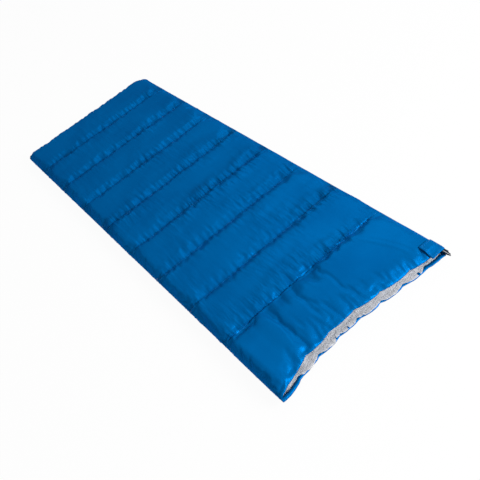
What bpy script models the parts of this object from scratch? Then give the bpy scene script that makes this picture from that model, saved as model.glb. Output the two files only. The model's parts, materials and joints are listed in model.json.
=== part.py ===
"""A rectangular sleeping bag, laid flat and zipped up, as an assembly of separate pieces.

Two quilted halves lie on each other. They hinge at the fold, on the -X side, and a zip joins them along
the +X side and round the foot. The mouth is at -Y and the floor is z = 0. Everything is in metres.
Each half is modelled as the upper one, with heights measured from the plane between the halves; the
lower half is the same thing turned over.
"""

import math

import bmesh
import bpy
from mathutils import Matrix, Vector

# Overall sizes, laid flat
WIDTH = 0.695  # fold to zip seam
LENGTH = 1.900  # mouth corners to foot seam
LOFT = 0.031  # one half at the crown of a channel, shell and lining included
INNER_GAP = 0.009  # between the two linings
CORNER_RADIUS = 0.060  # in plan, where the zip turns from the side to the foot
UPPER_BOW = 0.050  # how far the middle of the upper mouth edge lies behind its corners
LOWER_BOW = 0.018

# Quilting
CHANNELS = 9
MOUTH_CHANNEL = 0.269  # the channel at the mouth is longer than the others
SEAM_THICKNESS = 0.008  # of a half where it is stitched through
FLANK = 0.022  # from a seam to halfway up the channel
SHOULDER = 0.056  # from a seam to the flat of the crown
FLANK_RISE = 0.70  # share of the crown's height that is reached at the flank
FOLD_BULGE = 0.050  # how far in from the fold the surface is still rising
ZIP_SLOPE = 0.090  # how far in from the zip the surface is still falling
EDGE_THICKNESS = 0.012  # of a half at its zip and foot seam
MOUTH_THICKNESS = 0.011  # of a half at its mouth

# Cloth
SHELL = 0.0010
LINING = 0.0010
HEM_CLOTH = 0.0010
CLEAR = 0.0003  # between pieces that touch
SLOPE_CLEAR = 0.0006  # between sloping layers, measured upright
SIDE_CLEAR = 0.0022  # from the zip seam in to batting and lining, room for the slider's inner plate
SKIRT = 0.006  # the shell is turned down this far behind the zip tape
HINGE_OFFSET = 0.0002  # the hinge line lies this far outside the fold
HEM_FROM_FOLD = 0.020

# Zip: offsets are outwards from the seam, heights are from the plane between the halves
TAPE_THICKNESS = 0.0008
TAPE_LOW, TAPE_HIGH = 0.0016, 0.0145
COIL_DEPTH = 0.0026
COIL_LOW, COIL_HIGH = 0.00055, 0.0040
TAPE_TAIL = 0.028  # loose tape past the mouth
TAPE_FROM_FOLD = 0.006
ARC_STEPS = 12
STOP_LENGTH = 0.003
STOP_FROM_TAPE_END = 0.003

# Sliders
SLIDER_LENGTH = 0.015
SLIDER_HALF_HEIGHT = 0.0054
PLATE = 0.0013
WEB = 0.0005  # the divider, a blade that passes between the two coils
SLIDER_CLEAR = 0.0004
PARKED_FROM_MOUTH = 0.016
PARKED_FROM_FOLD = 0.026
CROWN_HALF_WIDTH = 0.0014
CROWN_BAR = 0.0012
CROWN_HALF_OPENING = 0.0026  # along the zip
CROWN_HEIGHT = 0.0032  # under its bar
CROWN_ROOT = 0.0006  # how far the crown is let into the plate
PULL_THICKNESS = 0.0012
PULL_LENGTH = 0.030
PULL_HALF_WIDTH = 0.0036
PULL_SLOT_HALF_WIDTH = 0.0019
PULL_SLOT_LENGTH = 0.0062
PULL_RISE = 0.0018  # hinge line above the slider's plate

# Closure tab and its hook-and-loop patches
TAB_WIDTH = 0.054
TAB_LENGTH = 0.045
TAB_THICKNESS = 0.0012
TAB_FROM_MOUTH = 0.003
TAB_CLEAR = 0.0008
PATCH_THICKNESS = 0.0008
PATCH_WIDTH = 0.020
PATCH_MARGIN = 0.006
TAB_STEEP = LOFT / 0.0155  # upright measure of a wall of 1 on the steepest slope under the tab
PATCH_STEEP = 1.5  # and under the patches

# Draught tube, inside the upper half along the zip
TUBE_WIDTH = 0.030
TUBE_FROM_SEAM = 0.0060
TUBE_FROM_MOUTH = 0.070
TUBE_FROM_FOOT = 0.070
TUBE_OFF_LOWER_LINING = 0.0012
TUBE_SIDES = 12

# Care label, inside on the lower lining
LABEL_WIDTH = 0.032
LABEL_LENGTH = 0.055
LABEL_THICKNESS = 0.0004
LABEL_FROM_FOLD = 0.080
LABEL_FROM_MOUTH = 0.110

# Derived places
COIL_IN = CLEAR + TAPE_THICKNESS + CLEAR
COIL_OUT = COIL_IN + COIL_DEPTH
PLATE_IN = COIL_OUT + SLIDER_CLEAR  # inner face of the slider's outer plate
PLATE_OUT = PLATE_IN + PLATE
BACK_OUT = CLEAR - SLIDER_CLEAR  # outer face of its inner plate
BACK_IN = BACK_OUT - PLATE
CROWN_TOP = CROWN_HEIGHT + CROWN_BAR
PROUD = PLATE_OUT + CROWN_TOP  # the furthest that metal stands out from the seam
LINING_FACE = INNER_GAP / 2  # of the upper half, above the plane between the halves
MID = LINING_FACE + LOFT  # that plane, above the floor
FILL_BASE = LINING_FACE + LINING + CLEAR
FILL_INSET = SHELL + SLOPE_CLEAR
FOLD_X = -(WIDTH + PROUD) / 2
ZIP_X = FOLD_X + WIDTH
MOUTH_Y = -(LENGTH + PROUD - TAPE_TAIL) / 2
FOOT_Y = MOUTH_Y + LENGTH
CHANNEL = (LENGTH - MOUTH_CHANNEL) / (CHANNELS - 1)
SEAMS = [MOUTH_Y + MOUTH_CHANNEL + CHANNEL * i for i in range(CHANNELS - 1)]
CORNER = (ZIP_X - CORNER_RADIUS, FOOT_Y - CORNER_RADIUS)
TAB_X = ZIP_X - TAB_WIDTH  # the tab's sewn edge
TAB_Y = MOUTH_Y + TAB_FROM_MOUTH
PATCH_RIGHT = ZIP_X - PATCH_MARGIN
PATCH_LEFT = PATCH_RIGHT - PATCH_WIDTH

UPPER, LOWER = 1, -1
BOW = {UPPER: UPPER_BOW, LOWER: LOWER_BOW}
FOLD_ANGLES = (0, 25, 50, 70, 90)  # where the surface's columns lie round the fold
SLOPE_SHARES = (1.0, 0.62, 0.36, 0.16, 0.0)  # where they lie down the slope to the zip
CORNER_SHARES = (0.3, 0.6, 1.0)  # extra rows where the foot's corner turns
FLAT_SHARES = (0.2, 0.4, 0.6, 0.8)  # where they lie on the flat between the two


# ---------------------------------------------------------------- scene, materials, objects


def clear_scene():
    """Empty the scene and open the collections for the parts and for their cutters."""
    for obj in list(bpy.data.objects):
        bpy.data.objects.remove(obj)
    made = []
    for name in ("rectangular_sleeping_bag", "cutters"):
        made.append(bpy.data.collections.new(name))
        bpy.context.scene.collection.children.link(made[-1])
    return made


def finish(name, base_color, roughness, metallic=0.0):
    """A plain Principled material."""
    material = bpy.data.materials.new(name)
    material.use_nodes = True
    shader = material.node_tree.nodes["Principled BSDF"]
    shader.inputs["Base Color"].default_value = (*base_color, 1.0)
    shader.inputs["Roughness"].default_value = roughness
    shader.inputs["Metallic"].default_value = metallic
    return material


def place(name, data, material=None, collection=None):
    """Link new data as an object of that name."""
    obj = bpy.data.objects.new(name, data)
    (collection or PARTS).objects.link(obj)
    if material:
        obj.data.materials.append(material)
    return obj


def place_mesh(name, grid, material, collection=None):
    """Turn a bmesh into an object and free it."""
    mesh = bpy.data.meshes.new(name)
    grid.to_mesh(mesh)
    grid.free()
    return place(name, mesh, material, collection)


def thicken(obj, thickness):
    """Give an open surface a wall below or inside it."""
    solidify = obj.modifiers.new("cloth", "SOLIDIFY")
    solidify.thickness = thickness
    solidify.offset = -1.0
    solidify.use_even_offset = True


def flat_piece(name, outlines, low, high, material, collection=None):
    """A filled plan outline, with holes if more than one is given, from one height to another."""
    curve = bpy.data.curves.new(name, "CURVE")
    curve.dimensions = "2D"
    curve.fill_mode = "BOTH"
    curve.extrude = (high - low) / 2
    for outline in outlines:
        spline = curve.splines.new("POLY")
        spline.points.add(len(outline) - 1)
        for point, (x, y) in zip(spline.points, outline):
            point.co = (x, y, 0, 1)
        spline.use_cyclic_u = True
    obj = place(name, curve, material, collection)
    obj.location = (0, 0, (low + high) / 2)
    return obj


def at_height(low, high, half):
    """Two heights over the plane between the halves, as heights over the floor for either half."""
    ends = sorted((MID + half * low, MID + half * high))
    return ends[0], ends[1]


# ---------------------------------------------------------------- the quilted surface


def eased(distance, reach):
    """0 at the edge and 1 at reach, along a quarter circle."""
    share = min(max(distance / reach, 0.0), 1.0)
    return math.sqrt(1.0 - (1.0 - share) ** 2)


def channel_rise(y):
    """Share of the full loft at y: 0 on a seam or an edge, 1 on the flat of a crown."""
    nearest = min(abs(y - line) for line in [MOUTH_Y, *SEAMS, FOOT_Y])
    if nearest <= FLANK:
        return FLANK_RISE * nearest / FLANK
    share = min((nearest - FLANK) / (SHOULDER - FLANK), 1.0)
    return FLANK_RISE + (1.0 - FLANK_RISE) * math.sin(share * math.pi / 2)


def thickness(x, y):
    """Thickness of a half between its fold and its zip, without the rounding at the fold."""
    low = SEAM_THICKNESS
    if y < (MOUTH_Y + SEAMS[0]) / 2:
        low = MOUTH_THICKNESS
    elif y > (SEAMS[-1] + FOOT_Y) / 2:
        low = EDGE_THICKNESS
    crown = low + (LOFT - low) * channel_rise(y)
    return EDGE_THICKNESS + (crown - EDGE_THICKNESS) * eased(ZIP_X - x, ZIP_SLOPE)


def mouth_shift(x, y, bow):
    """How far a point near the mouth is drawn back by the bow of the mouth edge."""
    across = min(max((x - FOLD_X) / WIDTH, 0.0), 1.0)
    fading = min(max((SEAMS[0] - y) / MOUTH_CHANNEL, 0.0), 1.0)
    return bow * (1.0 - (2.0 * across - 1.0) ** 2) * fading


def rounded(x, y):
    """Pull a point of the foot's zip corner onto the rounded plan."""
    across, along = x - CORNER[0], y - CORNER[1]
    if across <= 0 or along <= 0:
        return x, y
    scale = max(across, along) / math.hypot(across, along)
    return CORNER[0] + across * scale, CORNER[1] + along * scale


def columns():
    """Each line of points along the bag: its x, and the share of the thickness at the fold."""
    kept = []
    for angle in FOLD_ANGLES:
        turn = math.radians(angle)
        kept.append((FOLD_X + FOLD_BULGE * (1 - math.cos(turn)), math.sin(turn)))
    flat = WIDTH - FOLD_BULGE - ZIP_SLOPE
    kept += [(FOLD_X + FOLD_BULGE + flat * share, 1.0) for share in FLAT_SHARES]
    kept += [(ZIP_X - ZIP_SLOPE * share, 1.0) for share in SLOPE_SHARES]
    return kept


def rows():
    """The y of each line of points across the bag, from the mouth to the foot."""
    spots = {FOOT_Y - CORNER_RADIUS * share for share in CORNER_SHARES}
    for line in [MOUTH_Y, *SEAMS, FOOT_Y]:
        spots |= {line, line - FLANK, line + FLANK, line - SHOULDER, line + SHOULDER}
    kept = []
    for y in sorted(spot for spot in spots if MOUTH_Y <= spot <= FOOT_Y):
        if not kept or y - kept[-1] > FLANK / 4:
            kept.append(y)
    kept[-1] = FOOT_Y
    return kept


def quilt_grid(bow, inset=0.0, end_inset=0.0, base=None):
    """The quilted surface as a bmesh, or a closed solid from a flat base up to it.

    A solid starts a column further in from the fold, where there is room for it.
    """
    across = columns() if base is None else columns()[1:]
    along = rows()
    grid = bmesh.new()
    bmesh.ops.create_grid(grid, x_segments=len(across) - 1, y_segments=len(along) - 1, size=0.5)
    raised = set(grid.verts)
    if base is not None:
        made = bmesh.ops.extrude_face_region(grid, geom=list(grid.faces))["geom"]
        raised = {item for item in made if isinstance(item, bmesh.types.BMVert)}
    for vert in grid.verts:
        x, fold_share = across[round((vert.co.x + 0.5) * (len(across) - 1))]
        y = along[round((vert.co.y + 0.5) * (len(along) - 1))]
        top = LINING_FACE + (thickness(x, y) - inset) * fold_share
        inner_x = min(x + inset * max(1 - (x - FOLD_X) / FOLD_BULGE, 0), ZIP_X - end_inset)
        inner_y = min(max(y, MOUTH_Y + end_inset), FOOT_Y - end_inset)
        plan = rounded(inner_x, inner_y)
        shifted = plan[1] + mouth_shift(x, y, bow)
        vert.co = (plan[0], shifted, top if vert in raised else base)
    bmesh.ops.recalc_face_normals(grid, faces=grid.faces)
    return grid


def settle(grid, half):
    """Put a bmesh of the upper half over the plane between the halves, or turned over below it."""
    if half == LOWER:
        bmesh.ops.scale(grid, vec=(1, 1, -1), verts=grid.verts)
        bmesh.ops.reverse_faces(grid, faces=grid.faces)
    bmesh.ops.translate(grid, vec=(0, 0, MID), verts=grid.verts)
    return grid


# ---------------------------------------------------------------- the halves


def outer_shell(name, half):
    """The cloth over a half, turned down behind the zip tape along the side and the foot."""
    grid = quilt_grid(BOW[half])
    upwards = sum(face.normal.z for face in grid.faces)
    if upwards < 0:
        bmesh.ops.reverse_faces(grid, faces=grid.faces)
    hem = LINING_FACE + EDGE_THICKNESS - SKIRT
    seam = []
    for edge in grid.edges:
        on_side = all(vert.co.x > CORNER[0] for vert in edge.verts)
        on_foot = all(vert.co.y > CORNER[1] + CORNER_RADIUS / 4 for vert in edge.verts)
        high = all(vert.co.z > hem + SHELL for vert in edge.verts)
        run = edge.verts[0].co - edge.verts[1].co
        at_mouth = abs(run.x) > abs(run.y) and edge.verts[0].co.y < SEAMS[0]
        if edge.is_boundary and high and not at_mouth and (on_side or on_foot):
            seam.append(edge)
    made = bmesh.ops.extrude_edge_only(grid, edges=seam)["geom"]
    for item in made:
        if isinstance(item, bmesh.types.BMVert):
            item.co.z = hem
    shell = place_mesh(name, settle(grid, half), SHELL_CLOTH)
    thicken(shell, SHELL)


def batting(name, half):
    """The filling of a half: one sheet, pinched where the quilting is stitched through."""
    grid = quilt_grid(BOW[half], FILL_INSET, SIDE_CLEAR, FILL_BASE)
    place_mesh(name, settle(grid, half), FILLING)


def mouth_line(bow, left, right, back):
    """Plan points along the mouth edge, from left to right, set back by a distance."""
    xs = [left, *(x for x, _ in columns() if left < x < right), right]
    return [(x, MOUTH_Y + mouth_shift(x, MOUTH_Y, bow) + back) for x in xs]


def corner_arc(offset):
    """Plan points round the foot's zip corner, from the side to the foot, offset outwards."""
    turns = [math.pi / 2 * i / ARC_STEPS for i in range(ARC_STEPS + 1)]
    reach = CORNER_RADIUS + offset
    return [(CORNER[0] + reach * math.cos(t), CORNER[1] + reach * math.sin(t)) for t in turns]


def lining(name, half):
    """The inner cloth of a half, one flat sheet with the bag's plan."""
    left = columns()[1][0]
    outline = mouth_line(BOW[half], left, ZIP_X - SIDE_CLEAR, HEM_CLOTH + CLEAR)
    outline += corner_arc(-SIDE_CLEAR)
    outline.append((left, FOOT_Y - SIDE_CLEAR))
    low, high = at_height(LINING_FACE, LINING_FACE + LINING, half)
    flat_piece(name, [outline], low, high, LINING_CLOTH)


def mouth_hem(name, half, material):
    """The strip that closes the mouth end of a half, between the shell and the lining."""
    left, right = FOLD_X + HEM_FROM_FOLD, ZIP_X - SIDE_CLEAR
    front = mouth_line(BOW[half], left, right, 0.0)
    back = mouth_line(BOW[half], left, right, HEM_CLOTH)
    drop = FOLD_BULGE - HEM_FROM_FOLD
    share = math.sqrt(1.0 - (drop / FOLD_BULGE) ** 2)
    top = LINING_FACE + MOUTH_THICKNESS * share - FILL_INSET - CLEAR
    low, high = at_height(LINING_FACE, top, half)
    flat_piece(name, [front + back[::-1]], low, high, material)


def fold_strip(name):
    """The band of shell cloth that joins the two halves at the fold."""
    left, right = FOLD_X, FOLD_X + SHELL
    outline = [(left, MOUTH_Y), (right, MOUTH_Y), (right, FOOT_Y), (left, FOOT_Y)]
    half_height = LINING_FACE - SHELL - CLEAR  # the shells' edges lean in under their own thickness
    flat_piece(name, [outline], MID - half_height, MID + half_height, SHELL_CLOTH)


def draught_tube(name):
    """A padded roll on the upper lining, lying behind the zip."""
    top = LINING_FACE - CLEAR
    bottom = TUBE_OFF_LOWER_LINING - LINING_FACE
    start, end = MOUTH_Y + TUBE_FROM_MOUTH, FOOT_Y - TUBE_FROM_FOOT
    roll = bmesh.new()
    bmesh.ops.create_cone(
        roll, cap_ends=True, segments=TUBE_SIDES, radius1=0.5, radius2=0.5, depth=end - start
    )
    bmesh.ops.rotate(roll, matrix=Matrix.Rotation(math.pi / 2, 3, "X"), verts=roll.verts)
    bmesh.ops.scale(roll, vec=(TUBE_WIDTH, 1, top - bottom), verts=roll.verts)
    centre = (ZIP_X - TUBE_FROM_SEAM - TUBE_WIDTH / 2, (start + end) / 2, MID + (top + bottom) / 2)
    bmesh.ops.translate(roll, vec=centre, verts=roll.verts)
    place_mesh(name, roll, LINING_CLOTH)


def care_label(name):
    """A blank label sewn to the lower lining."""
    left, front = FOLD_X + LABEL_FROM_FOLD, MOUTH_Y + LABEL_FROM_MOUTH
    right, back = left + LABEL_WIDTH, front + LABEL_LENGTH
    outline = [(left, front), (right, front), (right, back), (left, back)]
    low = MID - LINING_FACE + CLEAR
    flat_piece(name, [outline], low, low + LABEL_THICKNESS, LABEL_CLOTH)


# ---------------------------------------------------------------- the zip


def zip_band(name, inner, outer, low, high, ends, half, material):
    """A band that follows the zip seam, between two offsets and from the mouth's end to the fold's."""
    mouth_end, fold_end = ends
    inside = [(ZIP_X + inner, mouth_end), *corner_arc(inner), (fold_end, FOOT_Y + inner)]
    outside = [(ZIP_X + outer, mouth_end), *corner_arc(outer), (fold_end, FOOT_Y + outer)]
    bottom, top = at_height(low, high, half)
    flat_piece(name, [inside + outside[::-1]], bottom, top, material)


def zip_half(prefix, half):
    """Tape, coil and the two stops that end the coil."""
    tape_ends = (MOUTH_Y - TAPE_TAIL, FOLD_X + TAPE_FROM_FOLD)
    tape_out = CLEAR + TAPE_THICKNESS
    zip_band(f"{prefix}_zip_tape", CLEAR, tape_out, TAPE_LOW, TAPE_HIGH, tape_ends, half, TAPE)
    stop_y = MOUTH_Y + STOP_FROM_TAPE_END
    stop_x = tape_ends[1] + STOP_FROM_TAPE_END
    coil_ends = (stop_y + STOP_LENGTH + CLEAR, stop_x + STOP_LENGTH + CLEAR)
    zip_band(f"{prefix}_zip_coil", COIL_IN, COIL_OUT, COIL_LOW, COIL_HIGH, coil_ends, half, COIL)
    low, high = at_height(COIL_LOW, COIL_HIGH, half)
    left, right = ZIP_X + COIL_IN, ZIP_X + COIL_OUT
    end = stop_y + STOP_LENGTH
    outline = [(left, stop_y), (right, stop_y), (right, end), (left, end)]
    flat_piece(f"{prefix}_mouth_stop", [outline], low, high, METAL)
    front, back = FOOT_Y + COIL_IN, FOOT_Y + COIL_OUT
    end = stop_x + STOP_LENGTH
    outline = [(stop_x, front), (end, front), (end, back), (stop_x, back)]
    flat_piece(f"{prefix}_foot_stop", [outline], low, high, METAL)


def section_beam():
    """The slider's section, as (outwards, upwards) points: two plates joined by the divider."""
    tall, thin = SLIDER_HALF_HEIGHT, WEB / 2
    right = [(PLATE_OUT, -tall), (PLATE_OUT, tall), (PLATE_IN, tall), (PLATE_IN, thin)]
    left = [(BACK_OUT, thin), (BACK_OUT, tall), (BACK_IN, tall), (BACK_IN, -tall)]
    return right + left + [(BACK_OUT, -tall), (BACK_OUT, -thin), (PLATE_IN, -thin), (PLATE_IN, -tall)]


def crown_outline(root, away):
    """An arch on a plate, as (along, outwards) points: root is the plate's face, away its direction."""
    inner, outer = CROWN_HALF_OPENING, CROWN_HALF_OPENING + CROWN_BAR
    sunk = root - away * CROWN_ROOT
    under, top = root + away * CROWN_HEIGHT, root + away * CROWN_TOP
    arch = [(-outer, sunk), (-outer, top), (outer, top), (outer, sunk)]
    return arch + [(inner, sunk), (inner, under), (-inner, under), (-inner, sunk)]


def as_mesh(obj):
    """Replace a curve object by the mesh it makes, welded, with its place applied."""
    depsgraph = bpy.context.evaluated_depsgraph_get()
    mesh = bpy.data.meshes.new_from_object(obj.evaluated_get(depsgraph))
    mesh.transform(obj.matrix_world)
    name, collection = obj.name, obj.users_collection[0]
    bpy.data.objects.remove(obj)
    welded = bmesh.new()
    welded.from_mesh(mesh)
    bmesh.ops.remove_doubles(welded, verts=welded.verts, dist=0.00001)
    bmesh.ops.recalc_face_normals(welded, faces=welded.faces)
    welded.to_mesh(mesh)
    welded.free()
    made = bpy.data.objects.new(name, mesh)
    collection.objects.link(made)
    return made


def turned(obj, matrix):
    """Turn an object's place by a matrix and bring the scene up to date."""
    obj.matrix_world = matrix @ Matrix.Translation(obj.location)
    bpy.context.view_layer.update()
    return as_mesh(obj)


def slider(name, where, along, outwards, crowns):
    """A slider that wraps both coils, with a crown for each pull. It is centred on where."""
    upright = Vector((0, 0, 1))
    axes = Matrix((outwards, upright, along)).transposed().to_4x4()
    body = flat_piece(name, [section_beam()], -SLIDER_LENGTH / 2, SLIDER_LENGTH / 2, METAL)
    body = turned(body, Matrix.Translation(where) @ axes)
    axes = Matrix((along, outwards, upright)).transposed().to_4x4()
    for root, away in crowns:
        outline = [crown_outline(root, away)]
        width = CROWN_HALF_WIDTH
        arch = flat_piece(f"{name}_crown", outline, -width, width, METAL, CUTTERS)
        arch = turned(arch, Matrix.Translation(where) @ axes)
        arch.hide_render = True
        arch.display_type = "WIRE"
        join = body.modifiers.new("crown", "BOOLEAN")
        join.operation = "UNION"
        join.solver = "EXACT"
        join.object = arch
    body.data.materials.clear()
    body.data.materials.append(METAL)


def pull(name, hinge, towards, outwards):
    """A pull tag whose bar lies under a crown: it hangs on the hinge and points towards its tip."""
    bar = PULL_THICKNESS / 2
    slot_end = bar + PULL_SLOT_LENGTH
    wide, narrow = PULL_HALF_WIDTH, PULL_SLOT_HALF_WIDTH
    tip = PULL_LENGTH
    bevel = wide / 2
    outer = [(-bar, -wide), (tip - bevel, -wide), (tip, -wide + bevel), (tip, wide - bevel)]
    outer += [(tip - bevel, wide), (-bar, wide)]
    slot = [(bar, -narrow), (slot_end, -narrow), (slot_end, narrow), (bar, narrow)]
    tag = flat_piece(name, [outer, slot], -PULL_THICKNESS / 2, PULL_THICKNESS / 2, METAL)
    axes = Matrix((towards, towards.cross(outwards) * -1, outwards)).transposed().to_4x4()
    tag.matrix_world = Matrix.Translation(hinge) @ axes


def sliders():
    """The slider parked at the mouth, with a pull outside and one inside, and the one at the foot."""
    along_side, out_side = Vector((0, 1, 0)), Vector((1, 0, 0))
    where = Vector((ZIP_X, MOUTH_Y + PARKED_FROM_MOUTH, MID))
    slider("head_slider", where, along_side, out_side, [(PLATE_OUT, 1), (BACK_IN, -1)])
    outer = where + out_side * (PLATE_OUT + PULL_RISE)
    inner = where + out_side * (BACK_IN - PULL_RISE)
    pull("head_outer_pull", outer, -along_side, out_side)
    pull("head_inner_pull", inner, -along_side, out_side)
    along_foot, out_foot = Vector((-1, 0, 0)), Vector((0, 1, 0))
    where = Vector((FOLD_X + PARKED_FROM_FOLD, FOOT_Y, MID))
    slider("foot_slider", where, along_foot, out_foot, [(PLATE_OUT, 1)])
    pull("foot_outer_pull", where + out_foot * (PLATE_OUT + PULL_RISE), -along_foot, out_foot)


# ---------------------------------------------------------------- the closure tab


def surface_patch(bow, left, right, front, back, splits=()):
    """A rectangle cut out of the quilted surface of the upper half, with extra cuts at some x."""
    grid = quilt_grid(bow)
    if sum(face.normal.z for face in grid.faces) < 0:
        bmesh.ops.reverse_faces(grid, faces=grid.faces)
    cuts = [((left, 0, 0), (-1, 0, 0)), ((right, 0, 0), (1, 0, 0))]
    cuts += [((0, front, 0), (0, -1, 0)), ((0, back, 0), (0, 1, 0))]
    for point, normal in cuts:
        geometry = [*grid.verts, *grid.edges, *grid.faces]
        bmesh.ops.bisect_plane(grid, geom=geometry, plane_co=point, plane_no=normal, clear_outer=True)
    for x in splits:
        geometry = [*grid.verts, *grid.edges, *grid.faces]
        bmesh.ops.bisect_plane(grid, geom=geometry, plane_co=(x, 0, 0), plane_no=(1, 0, 0))
    return grid


def closure_tab():
    """A tab over the zip's mouth corner, sewn along its left edge, and its two patches."""
    front, back = TAB_Y, TAB_Y + TAB_LENGTH
    patch_front, patch_back = front + PATCH_MARGIN, back - PATCH_MARGIN
    patch_step = PATCH_THICKNESS * PATCH_STEEP + SLOPE_CLEAR
    # loop patch, on the shell; the wall is made inwards, so each surface is a piece's upper face
    grid = surface_patch(UPPER_BOW, PATCH_LEFT, PATCH_RIGHT, patch_front, patch_back)
    bmesh.ops.translate(grid, vec=(0, 0, patch_step), verts=grid.verts)
    loop = place_mesh("tab_loop_patch", settle(grid, UPPER), PATCH)
    thicken(loop, PATCH_THICKNESS)
    grid = surface_patch(0.0, PATCH_LEFT, PATCH_RIGHT, patch_front, patch_back)
    bmesh.ops.translate(grid, vec=(0, 0, 2 * patch_step), verts=grid.verts)
    hook = place_mesh("tab_hook_patch", settle(grid, UPPER), PATCH)
    thicken(hook, PATCH_THICKNESS)
    grid = surface_patch(0.0, TAB_X, ZIP_X, front, back, (PATCH_LEFT,))
    lift = TAB_CLEAR + TAB_THICKNESS * TAB_STEEP
    full_lift = 2 * patch_step + TAB_THICKNESS * TAB_STEEP + SLOPE_CLEAR
    for vert in grid.verts:
        share = min((vert.co.x - TAB_X) / (PATCH_LEFT - TAB_X), 1.0)
        vert.co.z += lift + (full_lift - lift) * share
    tab = place_mesh("closure_tab", settle(grid, UPPER), TAB_CLOTH)
    thicken(tab, TAB_THICKNESS)


# ---------------------------------------------------------------- the whole bag

PARTS, CUTTERS = clear_scene()
SHELL_CLOTH = finish("shell_cloth", (0.0, 0.19, 0.56), 0.38)
TAB_CLOTH = finish("tab_cloth", (0.0, 0.17, 0.50), 0.45)
LINING_CLOTH = finish("lining_cloth", (0.62, 0.63, 0.66), 0.85)
FILLING = finish("filling", (0.85, 0.85, 0.84), 0.95)
TAPE = finish("zip_tape", (0.012, 0.016, 0.035), 0.8)
COIL = finish("zip_coil", (0.02, 0.02, 0.025), 0.45)
METAL = finish("metal", (0.10, 0.11, 0.13), 0.35, 1.0)
PATCH = finish("hook_and_loop", (0.01, 0.02, 0.06), 0.95)
LABEL_CLOTH = finish("label_cloth", (0.80, 0.80, 0.78), 0.7)

for side, prefix in ((UPPER, "upper"), (LOWER, "lower")):
    outer_shell(f"{prefix}_shell", side)
    batting(f"{prefix}_batting", side)
    lining(f"{prefix}_lining", side)
    zip_half(prefix, side)
mouth_hem("upper_mouth_hem", UPPER, SHELL_CLOTH)
mouth_hem("lower_mouth_hem", LOWER, LINING_CLOTH)
fold_strip("fold_strip")
draught_tube("draught_tube")
care_label("care_label")
sliders()
closure_tab()
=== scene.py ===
"""The looks of a rectangular quilted sleeping bag, laid flat and zipped up.

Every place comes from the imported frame, in metres: the fold is at -X, the zip at +X, the mouth at -Y and
the foot at +Y. Heights of a half are measured from the plane between the two halves, as on the real bag,
where the lower half is cut and quilted like the upper one and turned over.
"""

import json
import logging
import math
from dataclasses import dataclass, field
from enum import Enum
from typing import Any, Callable, Iterable, Optional

import bmesh
import bpy
import numpy as np
from mathutils import Matrix, Vector, noise
from mathutils.bvhtree import BVHTree

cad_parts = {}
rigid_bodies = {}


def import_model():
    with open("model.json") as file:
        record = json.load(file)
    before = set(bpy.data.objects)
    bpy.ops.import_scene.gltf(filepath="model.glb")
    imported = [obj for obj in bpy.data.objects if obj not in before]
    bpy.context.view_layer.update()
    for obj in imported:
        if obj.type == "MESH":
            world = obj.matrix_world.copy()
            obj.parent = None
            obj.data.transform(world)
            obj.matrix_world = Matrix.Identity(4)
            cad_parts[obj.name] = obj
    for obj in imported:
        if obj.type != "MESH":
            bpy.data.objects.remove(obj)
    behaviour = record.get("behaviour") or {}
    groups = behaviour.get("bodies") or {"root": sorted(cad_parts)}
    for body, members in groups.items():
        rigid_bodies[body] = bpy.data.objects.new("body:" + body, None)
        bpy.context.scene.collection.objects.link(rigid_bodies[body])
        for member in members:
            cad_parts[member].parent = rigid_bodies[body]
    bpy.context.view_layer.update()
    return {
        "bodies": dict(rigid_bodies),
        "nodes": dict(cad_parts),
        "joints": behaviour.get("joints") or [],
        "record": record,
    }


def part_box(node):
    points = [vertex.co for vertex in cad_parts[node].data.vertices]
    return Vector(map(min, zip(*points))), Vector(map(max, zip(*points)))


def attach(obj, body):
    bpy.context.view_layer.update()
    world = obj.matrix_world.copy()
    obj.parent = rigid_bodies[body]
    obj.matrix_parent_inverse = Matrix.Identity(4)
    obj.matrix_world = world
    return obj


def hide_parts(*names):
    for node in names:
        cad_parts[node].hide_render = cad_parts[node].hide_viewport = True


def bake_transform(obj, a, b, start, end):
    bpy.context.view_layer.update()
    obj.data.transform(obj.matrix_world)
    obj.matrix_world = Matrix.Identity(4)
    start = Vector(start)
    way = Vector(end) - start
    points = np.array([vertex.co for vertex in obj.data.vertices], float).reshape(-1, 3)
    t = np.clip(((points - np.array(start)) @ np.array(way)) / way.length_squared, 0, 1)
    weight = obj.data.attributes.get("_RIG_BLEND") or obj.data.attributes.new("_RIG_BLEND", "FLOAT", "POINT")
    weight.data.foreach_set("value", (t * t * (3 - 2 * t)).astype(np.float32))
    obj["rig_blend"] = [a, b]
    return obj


LOG = logging.getLogger("sleeping_bag")
# how deep the bow of a mouth edge is, from the fold to the zip
BOW_SHAPE = ((0.0, 0.0), (0.05, 0.16), (0.1, 0.40), (0.16, 0.66), (0.22, 0.82), (0.32, 0.90), (0.45, 0.97),
             (0.53, 0.86), (0.62, 0.66), (0.75, 0.42), (0.88, 0.18), (0.95, 0.06), (1.0, 0.0))
# each turn of a mouth hem: how far back it steps, and how far towards the middle plane
UPPER_HEM = ((-0.0012, 0.0016), (0.0006, 0.0022), (0.0040, 0.0010), (0.0090, 0.0))
LOWER_HEM = ((-0.0075, 0.0004), (-0.0030, 0.0022), (0.0004, 0.0026), (0.0040, 0.0012), (0.0080, 0.0))


class Half(Enum):
    """The two quilted halves, by the side of the middle plane that they lie on."""

    UPPER = 1
    LOWER = -1


# ---------------------------------------------------------------- shader graphs


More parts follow.
